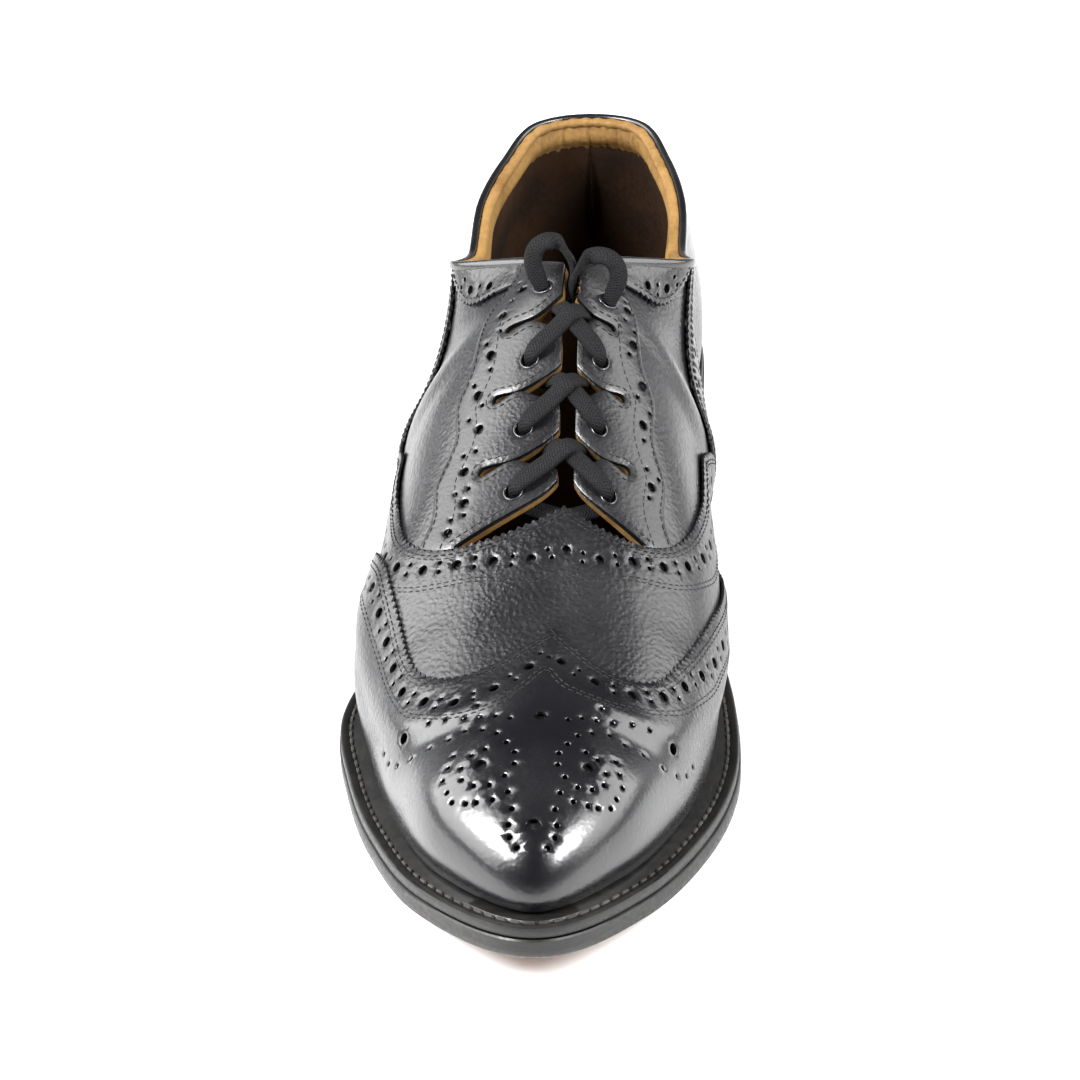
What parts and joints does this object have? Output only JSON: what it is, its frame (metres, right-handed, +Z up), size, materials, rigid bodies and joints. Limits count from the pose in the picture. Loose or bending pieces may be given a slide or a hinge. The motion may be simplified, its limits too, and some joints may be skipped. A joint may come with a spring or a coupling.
{
  "type": "brogue shoe",
  "caption": "Men's right ghillie brogue: wing-tip leather upper with open throat, lace tabs and no tongue, on a welted leather sole with a stacked heel.",
  "frame": {"origin": "on the floor, under the middle of the shoe's bounding box", "axes": "+Z up; the toe points to -Y and the heel to +Y; the outer (lateral) side is -X and the inner (medial) side +X"},
  "size_m": [0.1014, 0.305, 0.1086],
  "materials": {
    "black_leather": "black grained leather, polished",
    "black_polished": "smooth black leather",
    "tan_lining": "matt tan leather",
    "sole_leather": "smooth brown sole leather, black edge",
    "edge_black": "black waxed edge",
    "heel_rubber": "matt black",
    "lace_black": "flat black braid"
  },
  "bodies": {
    "root": {"outsole": "sole_leather", "welt": "edge_black", "insole": "tan_lining", "heel_stack": "edge_black", "heel_top_piece": "heel_rubber", "upper": "black_leather", "facing_lateral": "black_leather", "facing_medial": "black_leather", "vamp": "black_leather", "wing_cap": "black_leather", "counter": "black_leather", "backstay": "black_polished", "collar_lateral": "black_leather", "collar_medial": "black_leather", "lace_crossing_1": "lace_black", "lace_crossing_2": "lace_black", "lace_crossing_3": "lace_black", "lace_loop_lateral": "lace_black", "lace_loop_medial": "lace_black"}
  },
  "joints": []
}
